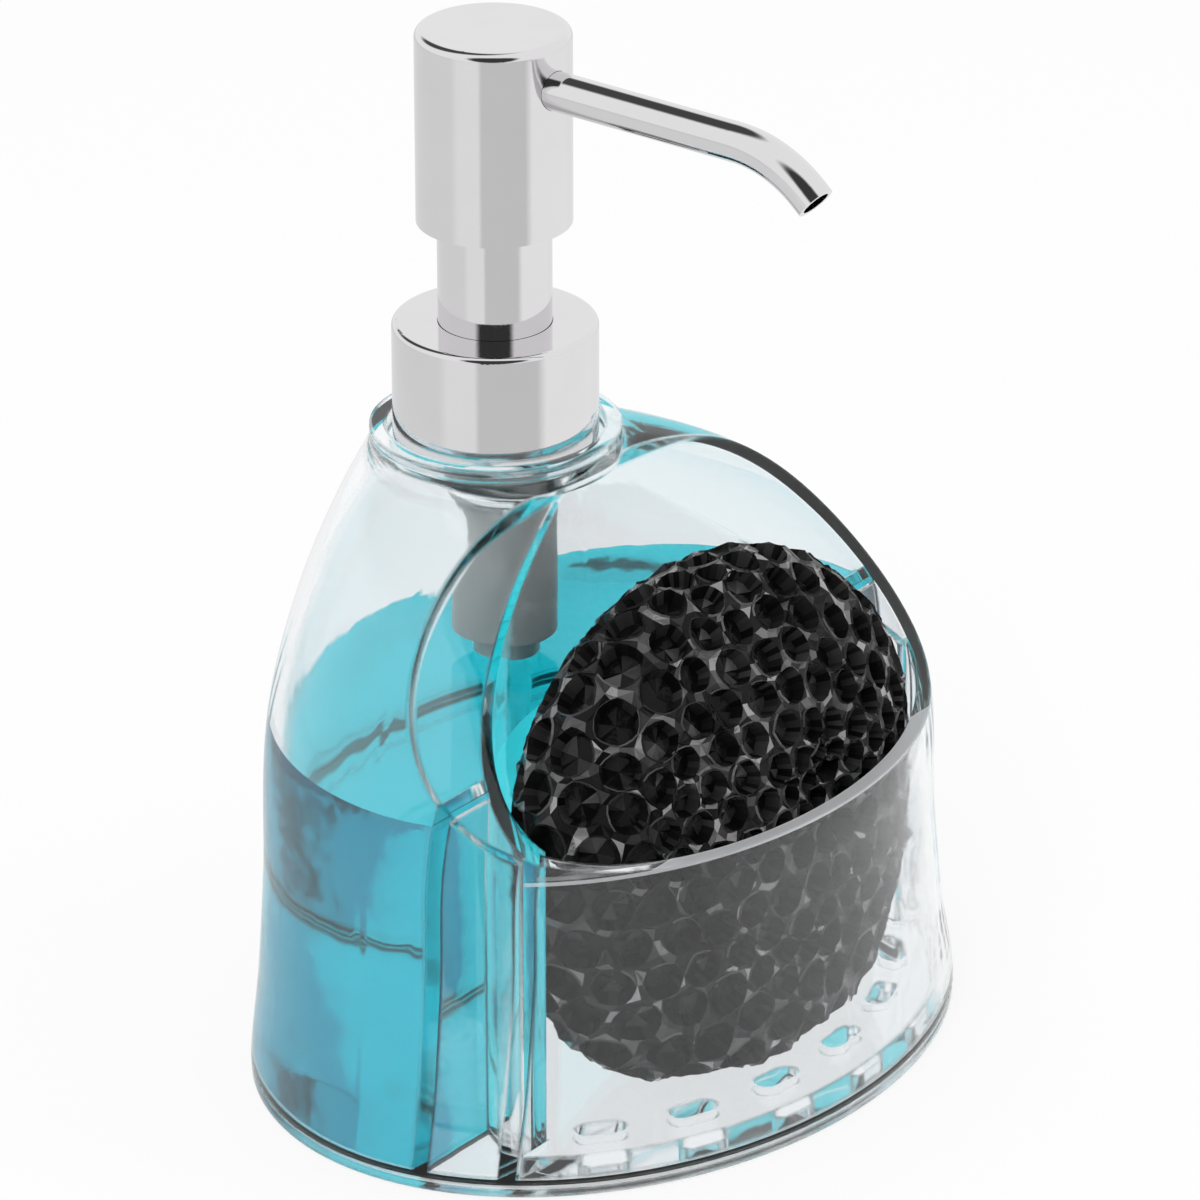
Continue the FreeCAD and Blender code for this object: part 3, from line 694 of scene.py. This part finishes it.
# %% The ring of greys
GREYS = (
    (0.0, 0.92),
    (0.045, 0.92),
    (0.06, 0.64),
    (0.235, 0.64),
    (0.265, 1.0),
    (0.45, 1.0),
    (0.6, 0.8),
    (0.93, 0.8),
    (0.96, 0.92),
    (1.0, 0.92),
)
floor_paint = bpy.data.materials.new("floor_paint")
floor_paint.use_nodes = True
floor_mesh.materials.append(floor_paint)
floor_tree = Shade(floor_paint.node_tree)
pump_low, pump_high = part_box("pump_head")
pump_spot = (pump_low + pump_high) / 2
compass = floor_tree.reckon(
    "ARCTAN2", along(floor_tree, "Y") - pump_spot.y, along(floor_tree, "X") - pump_spot.x
)
turn_share = compass * (0.5 / math.pi) + 0.5
grey_ring = floor_tree.node(
    "ShaderNodeValToRGB",
    {"stops": [(at, (grey, grey, grey, 1.0)) for at, grey in GREYS]},
    {"Fac": turn_share},
)
print("steps of grey round the pump:", len(GREYS))

# %% [markdown]
# To the camera, to mirrors and to clear plastic the floor is nearly white by itself, through Light Path,
# and a share of its paint still shows the object's shadow. A ray that has passed through clear plastic
# counts as glossy too, so mirrors are the glossy rays that haven't passed through anything.

# %% Floor paint
FLOOR_GLOW_SHARE = 0.86
FLOOR_THROUGH_SHARE = 0.95
WHITE = (1.0, 1.0, 1.0, 1.0)


def light_paths(tree):
    """Masks of the rays that come from the camera, from mirrors and through clear pieces."""
    seen = tree.node("ShaderNodeLightPath", out="Is Camera Ray")
    glossy = tree.node("ShaderNodeLightPath", out="Is Glossy Ray")
    passed = tree.node("ShaderNodeLightPath", out="Transmission Depth")
    mirrored = glossy * tree.reckon("LESS_THAN", passed, 0.5)
    return seen, mirrored, glossy - mirrored


floor_nodes = floor_paint.node_tree.nodes
floor_shader = floor_nodes["Principled BSDF"]
floor_shader.inputs["Base Color"].default_value = (0.9, 0.9, 0.9, 1.0)
floor_shader.inputs["Roughness"].default_value = 0.9
floor_shader.inputs["Specular IOR Level"].default_value = 0.0
seen, mirrored, through = light_paths(floor_tree)
glow_colour = blend_colours(floor_tree, mirrored, WHITE, grey_ring)
glow = floor_tree.node("ShaderNodeEmission", None, {"Color": glow_colour, "Strength": 1.0})
paint = Shade(floor_tree.tree, floor_shader.outputs["BSDF"])
direct = floor_tree.reckon("MAXIMUM", seen, mirrored)
glow_share = direct * FLOOR_GLOW_SHARE + through * FLOOR_THROUGH_SHARE
floor_mix = floor_tree.node("ShaderNodeMixShader", None, {0: glow_share, 1: paint, 2: glow})
floor_tree.tree.links.new(floor_mix.socket, floor_nodes["Material Output"].inputs["Surface"])
print("nodes in the floor's paint:", len(floor_nodes))

# %% [markdown]
# The world is white to the camera and through clear plastic. Mirrors see the same white with two dark
# fields, one high up on the camera's side and one high up behind the bottle, as the unlit parts of a studio
# give. They draw the dark line on each rounded chrome edge and along the spout. Matt surfaces get a softer
# share of the white.

# %% World
SOFT_WORLD = 0.62
FIELD_BLUR = 6.0
DARK_FIELDS = (
    {"towards": (-0.79, -0.61, 0.62), "reach": 32.0, "depth": 0.95},
    {"towards": (0.2, 0.56, 0.72), "reach": 23.0, "depth": 0.93},
)
world = bpy.data.worlds.new("studio")
bpy.context.scene.world = world
world.use_nodes = True
sky = Shade(world.node_tree)
sky_way = sky.node("ShaderNodeTexCoord", out="Generated")


def dark_field(towards, reach, depth):
    """How dark the studio is round one direction, out to an angle in degrees."""
    nearness = sky.node(
        "ShaderNodeVectorMath",
        {"operation": "DOT_PRODUCT"},
        {0: sky_way, 1: tuple(Vector(towards).normalized())},
        out="Value",
    )
    reaches = {
        "Value": nearness,
        "From Min": math.cos(math.radians(reach + FIELD_BLUR)),
        "From Max": math.cos(math.radians(reach - FIELD_BLUR)),
        "To Min": 0.0,
        "To Max": depth,
    }
    return sky.node("ShaderNodeMapRange", {"interpolation_type": "SMOOTHSTEP"}, reaches)


lit = 1
for field in DARK_FIELDS:
    lit = (1 - dark_field(**field)) * lit
seen, mirrored, through = light_paths(sky)
matt = 1 - (seen + mirrored + through)
strength = seen + through + mirrored * lit + matt * SOFT_WORLD
background = world.node_tree.nodes["Background"]
background.inputs["Color"].default_value = WHITE
world.node_tree.links.new(strength.socket, background.inputs["Strength"])
print("dark fields in the studio:", len(DARK_FIELDS))

# %% [markdown]
# Three wide soft boxes light the matt pieces from the left, the right and above. Mirrors and clear plastic
# don't show them, because a bright square in the soap or the chrome would hide their own tones.

# %% Lamps
MIDDLE = (0.0, 0.0, 0.07)
SOFT_BOXES = {
    "key_box": {"size": (0.6, 0.6), "power": 5.0, "spot": (-0.9, -0.3, 0.9)},
    "fill_box": {"size": (0.7, 0.5), "power": 3.0, "spot": (0.7, -0.9, 0.6)},
    "top_box": {"size": (0.8, 0.8), "power": 4.0, "spot": (0.1, 0.3, 1.3)},
}


def soft_box(name, size, power, spot):
    lamp = bpy.data.lights.new(name, "AREA")
    lamp.shape = "RECTANGLE"
    lamp.size, lamp.size_y = size
    lamp.energy = power
    holder = bpy.data.objects.new(name, lamp)
    holder.location = spot
    holder.rotation_euler = (Vector(MIDDLE) - Vector(spot)).to_track_quat("-Z", "Y").to_euler()
    holder.visible_camera = False
    holder.visible_transmission = False
    holder.visible_glossy = False
    bpy.context.scene.collection.objects.link(holder)
    print(name, power, "watts")


for name, values in SOFT_BOXES.items():
    soft_box(name, **values)

# %% [markdown]
# The camera stands to the left in front, looking down at about 25 degrees through a long lens.

# %% Camera
CAMERA_SPOT = (-0.7904, -0.6175, 0.544)
CAMERA_DOWN = 25.19
CAMERA_TURN = -51.95
LENS_LENGTH = 215.4
SENSOR_WIDTH = 36.0
NEAREST = 0.05
lens = bpy.data.cameras.new("camera")
lens.sensor_width = SENSOR_WIDTH
lens.lens = LENS_LENGTH
lens.clip_start = NEAREST
camera = bpy.data.objects.new("camera", lens)
camera.location = CAMERA_SPOT
camera.rotation_euler = (math.radians(90.0 - CAMERA_DOWN), 0.0, math.radians(CAMERA_TURN))
bpy.context.scene.collection.objects.link(camera)
bpy.context.scene.camera = camera
print("camera is", round(Vector(CAMERA_SPOT).length, 2), "m from the origin")

# %% [markdown]
# Light bounces many times inside thick clear walls. With few bounces allowed, their rims would turn black.

# %% Render settings that the looks need
BOUNCES = 40
bpy.context.scene.view_settings.view_transform = "Standard"
cycles = bpy.context.scene.cycles
cycles.max_bounces = BOUNCES
cycles.transmission_bounces = BOUNCES
cycles.glossy_bounces = BOUNCES
cycles.use_denoising = True
print("bounces allowed:", cycles.max_bounces)
